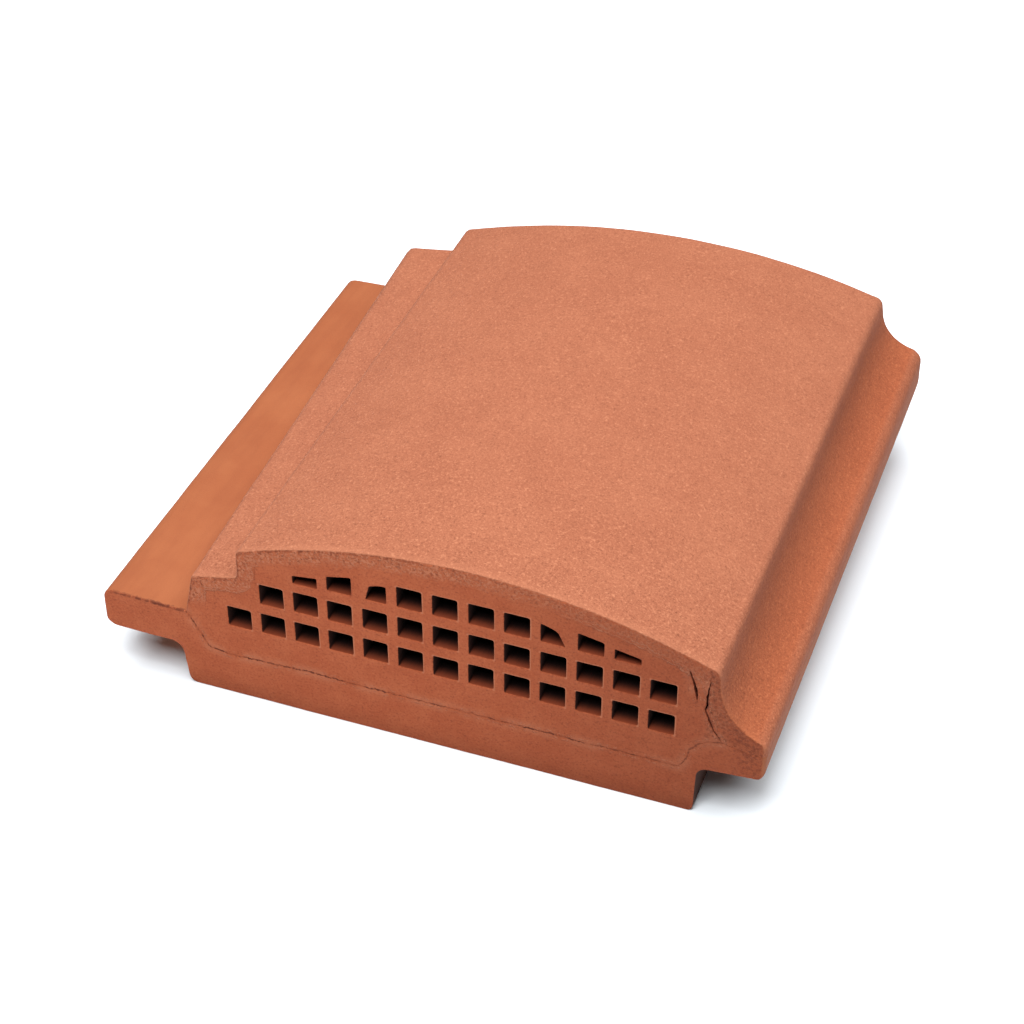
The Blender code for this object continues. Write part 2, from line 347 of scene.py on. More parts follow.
def hoodTopRun():
    # the hood's outside, from the right end of the seam over the crown to the ledge's foot
    right, left = arch["crestRight"], arch["crestLeft"]
    backRight, backLeft = arch["backRight"], arch["backLeft"]
    rise = arch["coverRise"]
    front, back = arch["coverRounds"]
    cover = paired(arcLine((284.4, 46.9), front, 0, 66, 12), arcLine((283.2, 44.9 + rise), back, 0, 64, 12))
    side = [(*seamEnd, 0.8, 0.0), (290.4, 46.0, 0.8, rise - 2.0)] + cover
    moves = (-0.1, rise), (0.0, atBack(right)[1])
    scotia = arcLine(arch["scotiaMiddle"], arch["scotiaRadius"], 247, 183, 14, *moves)
    front, back = arch["crestRounds"]
    crest = paired(
        arcLine((right, archHeight(right) - front), front, 0, 68, 8),
        arcLine((backRight, backHeight(backRight) - back), back, 0, 73, 8),
    )
    crown = archLine(right, left)
    front, back = arch["shoulderRounds"]
    shoulder = paired(
        arcLine((left, archHeight(left) - front), front, 110, 180, 8),
        arcLine((backLeft, backHeight(backLeft) - back), back, 107, 180, 8),
    )
    outer, step, top = arch["ledgeSpread"], arch["stepSpread"], arch["crestSpread"]
    foot = (ledgeFoot[0] - outer, ledgeFoot[1])
    ledge = paired(
        softLine(((31.6, 86.0), (31.3, 74.4, 3.4), (7.0, 68.9, 2.2), ledgeFoot)),
        softLine(((31.6 - top, 84.0), (31.3 - step, 75.1, 4.5), (7.0 - outer, 71.9, 5.5), foot)),
    )
    return run(side + scotia + crest + crown + shoulder + ledge, 1.4, 1.2)


def jagged(samples, amount, size, seed):
    # a broken line: the samples wander sideways, and the two ends stay
    return sideStep(samples, amount * endFade(samples) * wobble(samples, size, seed))


seamLeft = jagged(run(softLine(lines["seamLeft"]), 0.8, 0.2), 0.5, 2.0, 2.0)
seamPan = jagged(run(softLine(lines["seamPan"]), 1.1, 0.2), 0.6, 2.6, 3.0)
seamRight = run(softLine(lines["seamRight"]), 0.9, 0.3)
innerLeft = run(softLine(lines["innerLeft"]) + archLine(41.6, 42.6, shellDrop, 2), 1.2, 0.08)
innerArch = run(archLine(42.6, 253.4, shellDrop), 1.6, 0.08)
innerLeft[(innerLeft[:, 0] > 40.0) & (innerLeft[:, 1] > 71.0), 4] = 0.3
innerRight = run(softLine(lines["innerRight"]), 0.7, 0.15)
innerRight[innerRight[:, 1] > 81.0, 4] = 0.02
hoodTop = hoodTopRun()
shelfTop = run(softLine(((1.0, 45.9), (-39.6, 46.8))), 1.0, 0.0)


# geometry trees: the sweep of a section, the linings of the air holes and the clay's relief

weldDistance = 0.000002


def newTree(name, sockets):
    tree = bpy.data.node_groups.new(name, "GeometryNodeTree")
    tree.interface.new_socket("Geometry", in_out="OUTPUT", socket_type="NodeSocketGeometry")
    tree.interface.new_socket("Geometry", in_out="INPUT", socket_type="NodeSocketGeometry")
    for label, value in sockets.items():
        kind = {float: "Float", int: "Int"}.get(type(value), "Material")
        socket = tree.interface.new_socket(label, in_out="INPUT", socket_type="NodeSocket" + kind)
        if value is not None:
            socket.default_value = value
    return tree, addNode(tree, "NodeGroupInput").outputs


def weld(tree, shape):
    return geometry(tree, "MergeByDistance", {"Geometry": shape, "Distance": weldDistance})


def finishTree(tree, shape, material):
    smooth = geometry(tree, "SetShadeSmooth", {"Geometry": shape})
    real = geometry(tree, "RealizeInstances", {"Geometry": smooth})
    painted = geometry(tree, "SetMaterial", {"Geometry": real, "Material": material})
    feed(addNode(tree, "NodeGroupOutput").inputs[0], painted)
    return tree


def grow(name, mesh, tree, values):
    # runs a tree on a mesh and returns the result as a plain mesh
    holder = newObject(name, mesh)
    modifier = holder.modifiers.new(tree.name, "NODES")
    modifier.node_group = tree
    for item in tree.interface.items_tree:
        if item.in_out == "INPUT" and item.name in values:
            modifier[item.identifier] = values[item.name]
    grown = holder.evaluated_get(bpy.context.evaluated_depsgraph_get())
    result = bpy.data.meshes.new_from_object(grown)
    bpy.data.objects.remove(holder, do_unlink=True)
    bpy.data.meshes.remove(mesh)
    return result


def ringSheet(tree, around, rings):
    # a sheet to be rolled up, and the column and ring that each of its points is in
    sheet = geometry(tree, "MeshGrid", {"Vertices X": plus(around, 1.0), "Vertices Y": rings})
    index = geometry(tree, "InputIndex")
    column = maths("FLOOR", maths("DIVIDE", plus(index, 0.5), rings))
    return sheet, column, minus(index, times(column, rings))


def ringRules(ring, rings, radius, atFront, atBack, arrisRings):
    # how far each ring is pushed along and pulled in, so that both ends have a rounded arris
    last = minus(rings, 1.0)
    rules = []
    for here, wanted in ((ring, atFront), (minus(last, ring), atBack)):
        share = maths("DIVIDE", here, arrisRings, clamp=True)
        angle = times(share, math.pi / 2)
        size = times(radius, wanted)
        push = times(size, minus(1.0, maths("COSINE", angle)))
        pull = times(size, minus(1.0, maths("SINE", angle)))
        rules.append((push, pull))
    skipFront = times(arrisRings, atFront)
    skipBack = times(arrisRings, atBack)
    plain = minus(last, plus(skipFront, skipBack))
    share = maths("DIVIDE", minus(ring, skipFront), plain, clamp=True)
    return rules, share


def alongY(share, start, end, rules, crowding):
    # the ring's place, with the rings closer together near the front
    eased = maths("POWER", share, crowding)
    return blend(eased, plus(start, rules[0][0]), minus(end, rules[1][0]))


def makeSweepTree():
    tree, given = newTree("sweptClay", {
        "Start": 0.0, "End": 0.1, "Rings": 10, "Crowding": 1.0, "Front arris": 1.0, "Back arris": 1.0,
        "Arris rings": 4.0, "Tile front": frontY, "Tile length": tileLength, "Clay": None,
    })
    section, rings = given["Geometry"], given["Rings"]
    size = geometry(tree, "AttributeDomainSize", {"Geometry": section})
    sheet, column, ring = ringSheet(tree, size, rings)
    spot = maths("MODULO", column, size)

    def sampled(value, kind="FLOAT_VECTOR"):
        wanted = {"Geometry": section, "Value": value, "Index": spot}
        return geometry(tree, "SampleIndex", wanted, data_type=kind)

    final = sampled(geometry(tree, "InputPosition"))
    arris = sampled(attribute(tree, "arris"), "FLOAT")
    ends = (given["Front arris"], given["Back arris"])
    rules, share = ringRules(ring, rings, arris, *ends, given["Arris rings"])
    y = alongY(share, given["Start"], given["End"], rules, given["Crowding"])
    pull = plus(rules[0][1], rules[1][1])
    along = maths("DIVIDE", minus(y, given["Tile front"]), given["Tile length"])
    for name, amount in (("inward", pull), ("spread", along)):
        move = sampled(attribute(tree, name, "FLOAT_VECTOR"))
        final = vectorMaths("ADD", final, vectorMaths("SCALE", move, amount))
    final = vectorMaths("ADD", final, combined(0.0, y, 0.0))
    swept = geometry(tree, "SetPosition", {"Geometry": sheet, "Position": final})
    return finishTree(tree, weld(tree, geometry(tree, "FlipFaces", {"Mesh": swept})), given["Clay"])


def makeHoleTree():
    # one lining tube on each point, shaped by the point's own corners
    tree, given = newTree("airHoles", {
        "Width": 0.01, "Height": 0.01, "Depth": 0.06, "Front": 0.0, "Mouth round": 0.0005,
        "Corner": 0.05, "Soft corner": 0.09, "Around": 52, "Rings": 20, "Arris rings": 3.0,
        "Crowding": 1.6, "Unevenness": 0.0002, "Seed": 1, "Clay": None,
    })
    square = geometry(tree, "CurvePrimitiveQuadrilateral", {"Width": 1.0, "Height": 1.0})
    wanted = {"A": geometry(tree, "InputIndex"), "B": 0}
    isSoft = addNode(tree, "FunctionNodeCompare", wanted, data_type="INT", operation="EQUAL").outputs[0]
    radius = blend(isSoft, given["Corner"], given["Soft corner"])
    rounded = geometry(tree, "FilletCurve", {"Curve": square, "Count": 4, "Radius": radius}, mode="POLY")
    sheet, column, ring = ringSheet(tree, given["Around"], given["Rings"])
    wanted = {"Curves": rounded, "Factor": maths("DIVIDE", column, given["Around"])}
    outline = addNode(tree, "GeometryNodeSampleCurve", wanted, mode="FACTOR").outputs["Position"]
    across, up, _ = split(outline)
    rules, share = ringRules(ring, given["Rings"], given["Mouth round"], 1.0, 0.0, given["Arris rings"])
    y = alongY(share, 0.0, given["Depth"], rules, given["Crowding"])
    tube = geometry(tree, "SetPosition", {"Geometry": sheet, "Position": combined(across, y, up)})

    def stored(shape, name, value, kind="FLOAT"):
        wanted = {"Geometry": shape, "Name": name, "Value": value}
        return geometry(tree, "StoreNamedAttribute", wanted, data_type=kind)

    onTube = {"acrossHole": across, "upHole": up, "mouth": rules[0][1], "depthInHole": y}
    for name, value in onTube.items():
        tube = stored(tube, name, value)
    wanted = {"Seed": given["Seed"]}
    for name, side in (("Min", -1.0), ("Max", 1.0)):
        wanted[name] = vectorMaths("SCALE", (side, 0.0, side), given["Unevenness"])
    drift = addNode(tree, "FunctionNodeRandomValue", wanted, data_type="FLOAT_VECTOR").outputs[0]
    points = stored(given["Geometry"], "drift", drift, "FLOAT_VECTOR")
    placed = geometry(tree, "InstanceOnPoints", {"Points": points, "Instance": tube})
    real = geometry(tree, "RealizeInstances", {"Geometry": placed})

    names = ("centre", "feet", "heads", "tops", "drift")
    centre, feet, heads, tops, moved = (split(attribute(tree, n, "FLOAT_VECTOR")) for n in names)
    units = [attribute(tree, name) for name in ("acrossHole", "upHole")]
    across, up = (plus(unit, 0.5) for unit in units)
    leftSide, rightSide = (blend(up, feet[i], heads[i]) for i in (0, 1))
    bow = times(across, minus(1.0, across), 4.0)
    top = plus(blend(across, tops[0], tops[1]), times(bow, tops[2]))
    shares = (minus(blend(across, leftSide, rightSide), 0.5), minus(times(up, top), 0.5))
    spots = []
    for share, size, unit, middle, nudge in zip(
            shares, (given["Width"], given["Height"]), units, (centre[0], centre[2]), (moved[0], moved[2])):
        opened = times(unit, 2.0, attribute(tree, "mouth"))
        spots.append(plus(times(share, size), opened, middle, nudge))
    depth = plus(attribute(tree, "depthInHole"), given["Front"])
    wanted = {"Geometry": real, "Position": combined(spots[0], depth, spots[1])}
    shaped = geometry(tree, "SetPosition", wanted)
    return finishTree(tree, weld(tree, shaped), given["Clay"])


def makeReliefTree():
    # lumps, grain, drag marks and crumbled arrises, moved as one field so that neighbours stay together
    tree, given = newTree("clayRelief", {
        "Broad size": 0.03, "Broad depth": 0.0001, "Middle size": 0.006, "Middle depth": 0.0001,
        "Grain size": 0.0015, "Grain depth": 0.00004,
        "Crumb size": 0.0022, "Crumb depth": 0.0003, "Crumb reach": 0.002,
        "Drag size": 0.0016, "Drag depth": 0.0, "Front": 0.0, "Clay": None,
    })
    patchSize, dragStretch = 0.014, 0.06
    place = geometry(tree, "InputPosition")
    _, along, height = split(place)

    def lumps(size, depth, where=place, detail=1.0):
        color = cloud(where, 1.0, detail, part="Color")
        feed(color.node.inputs["Scale"], maths("DIVIDE", 1.0, size))
        centred = vectorMaths("SUBTRACT", color, (0.5, 0.5, 0.5))
        return vectorMaths("SCALE", centred, times(depth, 2.0))

    near = maths("MINIMUM", attribute(tree, "edgeDistance"), attribute(tree, "seamDistance"))
    crumbShare = fadeOut(near, 0.0, given["Crumb reach"])
    patchy = remap(cloud(place, patchSize, 1.0), 0.35, 0.62, 0.3, 1.0)
    long = vectorMaths("MULTIPLY", place, (1.0, dragStretch, 1.0))
    inside = remap(minus(along, given["Front"]), 0.0008, 0.003)
    total = lumps(given["Broad size"], given["Broad depth"])
    for move in (
            lumps(given["Middle size"], given["Middle depth"]),
            lumps(given["Grain size"], given["Grain depth"], detail=2.0),
            lumps(given["Crumb size"], times(crumbShare, patchy, given["Crumb depth"]), detail=2.0),
            lumps(given["Drag size"], times(given["Drag depth"], inside), long)):
        total = vectorMaths("ADD", total, move)
    settled = remap(height, 0.0, 0.003)  # the underside stays flat on the ground
    offset = vectorMaths("MULTIPLY", total, combined(1.0, 1.0, settled))
    moved = geometry(tree, "SetPosition", {"Geometry": given["Geometry"], "Offset": offset})
    return finishTree(tree, moved, given["Clay"])


sweepTree = makeSweepTree()
holeTree = makeHoleTree()
reliefTree = makeReliefTree()
print("geometry trees ready")


# meshes

def keep(mesh, name, values):
    # stores one value or one vector for each point
    kind, field = ("FLOAT_VECTOR", "vector") if values.ndim > 1 else ("FLOAT", "value")
    mesh.attributes.new(name, kind, "POINT").data.foreach_set(field, values.ravel())


def sectionMesh(samples):
    # a closed section as a loop of edges, with what the sweep needs at each point
    count = len(samples)
    places = [(bodyLeft + x * mm, 0.0, z * mm) for x, z in samples[:, :2]]
    mesh = bpy.data.meshes.new("section")
    mesh.from_pydata(places, [(i, (i + 1) % count) for i in range(count)], [])
    before = samples[:, :2] - np.roll(samples[:, :2], 1, axis=0)
    after = np.roll(before, -1, axis=0)
    before /= np.linalg.norm(before, axis=1)[:, None]
    after /= np.linalg.norm(after, axis=1)[:, None]
    along = before + after
    bend = np.clip(np.linalg.norm(along, axis=1), 0.9, 2.0)  # a sharp corner moves in further
    along /= np.linalg.norm(along, axis=1)[:, None]
    inward = np.column_stack((-along[:, 1], np.zeros(count), along[:, 0])) * (2.0 / bend)[:, None]
    keep(mesh, "inward", inward)
    keep(mesh, "spread", np.column_stack((samples[:, 2], np.zeros(count), samples[:, 3])) * mm)
    keep(mesh, "arris", samples[:, 4] * mm)
    return mesh


def sweep(name, section, start, end, clay, rings, crowding=1.0, frontArris=1.0, backArris=1.0):
    return grow(name, sectionMesh(section), sweepTree, {
        "Start": start, "End": end, "Rings": rings, "Crowding": crowding, "Clay": clay,
        "Front arris": frontArris, "Back arris": backArris,
    })


def joined(*meshes):
    both = bmesh.new()
    for mesh in meshes:
        both.from_mesh(mesh)
        bpy.data.meshes.remove(mesh)
    bmesh.ops.remove_doubles(both, verts=both.verts, dist=2 * weldDistance)
    return both


def crossings(points, starts, ends):
    # how many of the lines a ray to the right of each point crosses
    counts = np.zeros(len(points), int)
    (x1, z1), (x2, z2) = starts.T[:, None, :], ends.T[:, None, :]
    rise = np.where(z2 == z1, 1.0, z2 - z1)
    batch = 2000
    for first in range(0, len(points), batch):
        x, z = points[first:first + batch].T[:, :, None]
        spans = (z1 > z) != (z2 > z)
        counts[first:first + batch] = (spans & (x < x1 + (x2 - x1) * (z - z1) / rise)).sum(axis=1)
    return counts


def fillPoints(rim, starts, ends, spacing, seed, jitter=0.22, clearance=0.45):
    # jittered points inside the rim, none too close to it: both are shares of the spacing
    chance = np.random.default_rng(seed)
    low, high = rim.min(axis=0), rim.max(axis=0)
    rowHeight = spacing * math.sqrt(3) / 2
    columns = np.arange(low[0], high[0], spacing)
    rows = np.arange(low[1], high[1], rowHeight)
    x, z = np.meshgrid(columns, rows)
    x[1::2] += spacing / 2
    points = np.column_stack((x.ravel(), z.ravel()))
    points += chance.uniform(-jitter, jitter, points.shape) * spacing
    points = points[crossings(points, starts, ends) % 2 == 1]
    tree = KDTree(len(rim))
    for i, (px, pz) in enumerate(rim):
        tree.insert((px, pz, 0.0), i)
    tree.balance()
    clear = [tree.find((px, pz, 0.0))[2] > spacing * clearance for px, pz in points]
    return points[np.array(clear)]


def closeEnd(shape, y, facing, spacing, seed):
    # a fine triangle face across the open rims that lie at y
    rimEdges = [e for e in shape.edges if e.is_boundary and all(abs(v.co.y - y) < 1e-6 for v in e.verts)]
    rimVerts = list({v: None for e in rimEdges for v in e.verts})
    number = {v: i for i, v in enumerate(rimVerts)}
    rim = np.array([(v.co.x, v.co.z) for v in rimVerts])
    pairs = [(number[e.verts[0]], number[e.verts[1]]) for e in rimEdges]
    starts, ends = rim[[a for a, _ in pairs]], rim[[b for _, b in pairs]]
    inner = fillPoints(rim, starts, ends, spacing * mm, seed)
    flat = [Vector(p) for p in np.concatenate((rim, inner))]
    points, _, faces, origins, _, _ = delaunay_2d_cdt(flat, pairs, [], 0, 1e-8)
    verts = rimVerts + [shape.verts.new((x, y, z)) for x, z in inner]
    middles = np.array([np.mean([points[i] for i in face], axis=0) for face in faces])
    inside = crossings(middles, starts, ends) % 2 == 1
    for face, kept in zip(faces, inside):
        if not kept:
            continue
        corners = [verts[origins[i][0]] for i in face]
        if facing > 0:
            corners.reverse()
        shape.faces.new(corners).smooth = True
    print("  closed the end at y", round(y / mm), "mm:", len(inner), "points,", int(inside.sum()), "faces")


def nearLines(mesh, name, chains, reach=30 * mm, step=0.2 * mm):
    # stores how far each point is from the given lines, capped at reach
    spots = []
    for chain in chains:
        line = np.array(chain)
        lengths = np.linalg.norm(np.diff(line, axis=0), axis=1)
        along = np.concatenate(([0.0], np.cumsum(lengths)))
        wanted = np.linspace(0.0, along[-1], int(along[-1] / step) + 2)
        spots.append(np.column_stack([np.interp(wanted, along, line[:, c]) for c in range(3)]))
    spots = np.concatenate(spots)
    tree = KDTree(len(spots))
    for i, spot in enumerate(spots):
        tree.insert(spot, i)
    tree.balance()
    places = np.zeros(len(mesh.vertices) * 3)
    mesh.vertices.foreach_get("co", places)
    places = places.reshape(-1, 3)
    values = np.full(len(places), reach)
    for i in np.nonzero(places[:, 1] < frontY + reach)[0]:
        values[i] = min(tree.find(places[i])[2], reach)
    keep(mesh, name, values)


def frontChain(samples):
    return [(bodyLeft + x * mm, frontY, z * mm) for x, z in samples[:, :2]]


def roundUpright(shape, x, side, radius):
    # rounds the upright edge where the front meets an outer side: side is 1 on the right and -1 on the left
    centreX, centreY = x - side * radius, frontY + radius
    for vert in shape.verts:
        across, forward = (vert.co.x - centreX) * side, centreY - vert.co.y
        reach = math.hypot(across, forward)
        if min(across, forward) > 0.0 and reach > radius:
            vert.co.x = centreX + side * across * radius / reach
            vert.co.y = centreY - forward * radius / reach


uprights = ((290.4, 1, 3.0), (-43.5, -1, 1.8))  # x, side and rounding of the two upright front edges


def finishPiece(name, shape, material, relief, skew, node):
    for x, side, radius in uprights:
        roundUpright(shape, bodyLeft + x * mm, side, radius * mm)
    for vert in shape.verts:
        vert.co.y -= skew * (baseHigh.x - vert.co.x) * (vert.co.y - frontY) / tileLength
    mesh = bpy.data.meshes.new(name)
    shape.to_mesh(mesh)
    shape.free()
    edges = [frontChain(hoodTop[hoodTop[:, 1] > 50.0]), frontChain(shelfTop)]
    nearLines(mesh, "lipDistance", [frontChain(hoodTop)])
    nearLines(mesh, "edgeDistance", edges)
    nearLines(mesh, "seamDistance", seamChains)
    nearLines(mesh, "rimDistance", holeRims())
    mesh = grow(name, mesh, reliefTree, {"Front": frontY, "Clay": material, **relief})
    mesh.name = name
    piece = newObject(name, mesh)
    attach(piece, "root")
    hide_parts(node)
    print(name, "has", sum(len(p.vertices) - 2 for p in mesh.polygons), "triangles")


crackB = innerRight[innerRight[:, 1] < 81.0]
seamChains = [frontChain(s) for s in (seamLeft, seamPan, crackB)]
seamChains.append(frontChain(run(softLine(lines["crackA"]), 0.5, 0.1)))


# clay materials: colours are paint(red, green, blue), noises are (size, detail, roughness)

def paint(red, green, blue):
    # a colour as it looks on screen, as the shader wants it
    linear = [((v / 255 + 0.055) / 1.055) ** 2.4 if v > 10 else v / 255 / 12.92 for v in (red, green, blue)]
    return (*linear, 1.0)


sandedLook = {
    "clay": paint(147, 87, 62), "pale": paint(178, 116, 86), "dark": paint(104, 55, 36),
    # the multiplier of the painted shade down the right side
    "paintedRightShade": (0.92, 0.72, 0.56, 1.0), "roughness": 0.86,
    "blotch": (0.034, 3.0, 0.6), "mottle": (0.006, 2.0, 0.5), "grain": (0.0009, 2.0, 0.7),
    "sand": (0.0016, 2.0, 0.5),
}
smoothLook = {
    "clay": paint(141, 77, 45), "pale": paint(154, 91, 56), "dark": paint(126, 65, 38),
    # deep is the near black of the painted shade under the cover
    "groove": paint(82, 36, 22), "deep": paint(26, 9, 6), "roughness": 0.72,
    "blotch": (0.040, 3.0, 0.6), "streak": (0.009, 3.0, 0.6), "grain": (0.0008, 2.0, 0.6),
    "ragged": (0.0016, 3.0, 0.7),
}
cutLook = {
    "clay": paint(156, 77, 46), "pale": paint(173, 94, 60), "dark": paint(103, 46, 27),
    "shaded": (0.50, 0.47, 0.47, 1.0), "chalk": paint(178, 112, 82), "groove": paint(82, 36, 22),
    "roughness": 0.9,
    "drag": (0.0015, 3.0, 0.6, 0.5), "mottle": (0.011, 4.0, 0.6), "grain": (0.0011, 3.0, 0.7),
    "wave": (0.006, 3.0, 0.6), "patch": (0.014, 2.0, 0.55), "gap": (0.007, 2.0, 0.6),
    "ragged": (0.0015, 3.0, 0.65),
    # how strongly each mark shows
    "smear": 0.30, "foot": 0.22, "band": 0.12, "bandChalk": 0.62, "bandCrumbs": 0.55, "folds": 0.85,
    "foldShadow": 0.40, "shade": 0.56, "legCrumbs": 0.6, "corner": 0.6, "flap": 0.35, "rim": 0.45,
    "seamCrumbs": 0.35,
}
liningLook = {
    # deep is the near black of the painted shade inside the holes
    "mouth": paint(118, 51, 27), "deep": paint(26, 9, 6), "litDepth": 0.0085, "roughness": 0.9,
    "streak": (0.0014, 3.0, 0.6), "grain": (0.0009, 2.0, 0.6),
}


def shaderAttribute(tree, name):
    return addNode(tree, "ShaderNodeAttribute", attribute_name=name).outputs["Fac"]


def clouds(place, look, *names):
    return [cloud(place, *look[name]) for name in names]


def stretched(place, noiseLook, *stretch):
    return cloud(vectorMaths("MULTIPLY", place, stretch), *noiseLook)


def grains(place, size, low, high):
    # fine noise turned into separate grains
    return remap(cloud(place, size, 3.0, 0.65), low, high)


def within(value, low, high, soft):
    # 1 between low and high, 0 outside
    rising = remap(value, low - soft, low + soft)
    return times(rising, fadeOut(value, high - soft, high + soft))


def layered(look, color, *layers):
    # lays the look's tones over a colour, one after the other: (share, tone)
    for share, tone in layers:
        how = "MULTIPLY" if tone in ("shaded", "paintedRightShade") else "MIX"
        color = blendColors(share, color, look[tone], how)
    return color


def sandedClay(tree, place, look):
    # sand-faced clay: pale and dark grains over soft blotches, browner with painted shade in the concave
    # sweep down the right side, paler with a painted highlight behind the front edge
    across, along, _ = split(place)
    coarse = remap(along, frontY, frontY + 0.12, 1.0, 0.76)
    blotches, mottle, grain, sand = clouds(place, look, "blotch", "mottle", "grain", "sand")
    speckles = []
    for noiseOn, low, high, share, tone in (
            (grain, 0.52, 0.72, 0.68, "pale"), (grain, 0.47, 0.28, 0.55, "dark"),
            (sand, 0.57, 0.74, 0.70, "pale"), (sand, 0.43, 0.26, 0.45, "dark")):
        speckles.append((times(remap(noiseOn, low, high, 0.0, share), coarse), tone))
    # painted highlight: paler just behind the hood's top front edge
    edge = plus(shaderAttribute(tree, "edgeDistance"), times(grain, 0.0012))
    # painted shade: browner in the concave sweep down the right side, and a little over half as much on the
    # cover's outer side
    paintedRightShade = times(remap(across, 0.1415, 0.1445), remap(across, 0.1645, 0.1610, 0.55, 1.0))
    color = layered(
        look, look["clay"],
        (remap(blotches, 0.35, 0.7, 0.0, 0.13), "pale"),
        (remap(mottle, 0.35, 0.7, 0.0, 0.10), "dark"),
        *speckles,
        (remap(edge, 0.0015, 0.007, 0.20, 0.0), "pale"),
        (paintedRightShade, "paintedRightShade"),
    )
    height = plus(times(grain, 0.00030), times(sand, 0.00025), times(mottle, 0.00020))
    return color, blend(grain, look["roughness"], 0.95), height


def shelfCrumbs(place, edge, width, least, most):
    # the shelf's crumbling front arris, fainter towards its outer end
    outward = remap(split(place)[0], -0.166, -0.135, least, most)
    atEdge = fadeOut(edge, 0.0018, width)
    return times(atEdge, outward, grains(place, 0.0030, 0.38, 0.52))


def cutClay(tree, place, look):
    # wire-cut clay, with its grain and its drag marks
    across, _, up = split(place)
    kinds = ("lip", "seam", "edge", "rim")
    lip, seam, edge, rim = (shaderAttribute(tree, kind + "Distance") for kind in kinds)
    drag = stretched(place, look["drag"], 0.3, 1.0, 1.0)
    names = ("mottle", "grain", "wave", "patch", "gap", "ragged")
    mottle, fine, wavy, patches, gaps, rough = clouds(place, look, *names)
    patchy = remap(patches, 0.40, 0.60)
    color = layered(
        look, look["clay"],
        (remap(mottle, 0.35, 0.7, 0.0, 0.40), "pale"),
        (remap(drag, 0.50, 0.34, 0.0, 0.12), "dark"),
        (remap(fine, 0.49, 0.31, 0.0, 0.48), "dark"),
        (remap(fine, 0.54, 0.70, 0.0, 0.60), "pale"),
        (times(remap(seam, 0.0012, 0.0055, look["smear"], 0.0), patchy), "chalk"),
        (remap(up, 0.0, 0.014, look["foot"], 0.0), "dark"),
    )

    # a chalky band inside the hood's lip, with wavy folds at the sides
    border = plus(lip, times(wavy, 0.007), times(fine, 0.003))
    inBand = times(fadeOut(border, 0.0100, 0.0150), remap(up, 0.050, 0.058))
    band = times(inBand, remap(across, -0.01, 0.12, 1.0, 0.5))
    crumbs = times(grains(place, 0.0016, 0.47, 0.34), band, look["bandCrumbs"])
    chalk = times(grains(place, 0.0012, 0.47, 0.60), band, look["bandChalk"])
    sides = plus(fadeOut(across, -0.084, -0.074), remap(across, 0.06, 0.10))
    folded = times(sides, plus(times(patchy, 0.6), 0.4), remap(up, 0.052, 0.060))
    spans = (0.0106, 0.0111), (0.0126, 0.0132), (0.0133, 0.0139)
    inner, outer, shadow = (within(border, low, high, 0.0003) for low, high in spans)
    folds = times(plus(outer, times(inner, 0.8)), folded, look["folds"])
    color = layered(
        look, color, (times(band, look["band"]), "chalk"), (chalk, "chalk"), (crumbs, "dark"),
        (folds, "chalk"), (times(shadow, folded, look["foldShadow"]), "dark"),
    )

    # painted shade: darker to the right, where the light falls off, and a little on the leg; crumbly down the
    # leg, pale around the whole air holes
    away = plus(across, times(mottle, 0.03))
    leg = times(remap(across, 0.1375, 0.1395), remap(up, 0.044, 0.050))
    onLeg = times(grains(place, 0.0018, 0.52, 0.36), leg, look["legCrumbs"])
    atCorner = times(remap(across, 0.148, 0.158), grains(place, 0.0014, 0.50, 0.38))
    corner = times(atCorner, look["corner"])
    flap = times(within(away, 0.1490, 0.1515, 0.0025), within(up, 0.073, 0.083, 0.002))
    color = layered(
        look, color, (remap(away, 0.0, 0.18, 0.0, look["shade"]), "shaded"),
        (plus(times(leg, 0.12), onLeg), "shaded"), (corner, "dark"),
        (times(flap, look["flap"]), "chalk"),
        (times(within(rim, -0.001, 0.0007, 0.0003), look["rim"]), "chalk"),
    )

    # broken dark lines on the arris, the shelf and the seam, and pale crumbs beside the seam
    ragged = times(rough, 0.0022)
    edge, seam = plus(edge, ragged), plus(seam, ragged)
    atEdge = times(fadeOut(edge, 0.0016, 0.0030), grains(place, 0.0022, 0.40, 0.56))
    onShelf = shelfCrumbs(place, edge, 0.0027, 0.2, 0.75)
    broken = remap(gaps, 0.40, 0.54, 0.25, 1.0)
    faint = plus(times(within(across, -0.119, 0.080, 0.010), 0.35), 0.58)
    crumbly = times(within(seam, 0.0024, 0.0032, 0.0003), grains(place, 0.0020, 0.48, 0.62))
    color = layered(
        look, color, (times(atEdge, remap(across, -0.02, 0.07, 0.75, 0.2)), "dark"),
        (times(onShelf, remap(across, -0.123, -0.126)), "groove"),
        (times(fadeOut(seam, 0.0012, 0.0018), broken, faint), "groove"),
        (times(crumbly, look["seamCrumbs"]), "chalk"),
    )
    height = plus(
        times(drag, 0.00006), times(fine, 0.00020), times(chalk, 0.0002),
        times(plus(folds, crumbly), 0.0003), times(plus(crumbs, corner), -0.0003),
    )
    return color, blend(fine, look["roughness"], 0.97), height


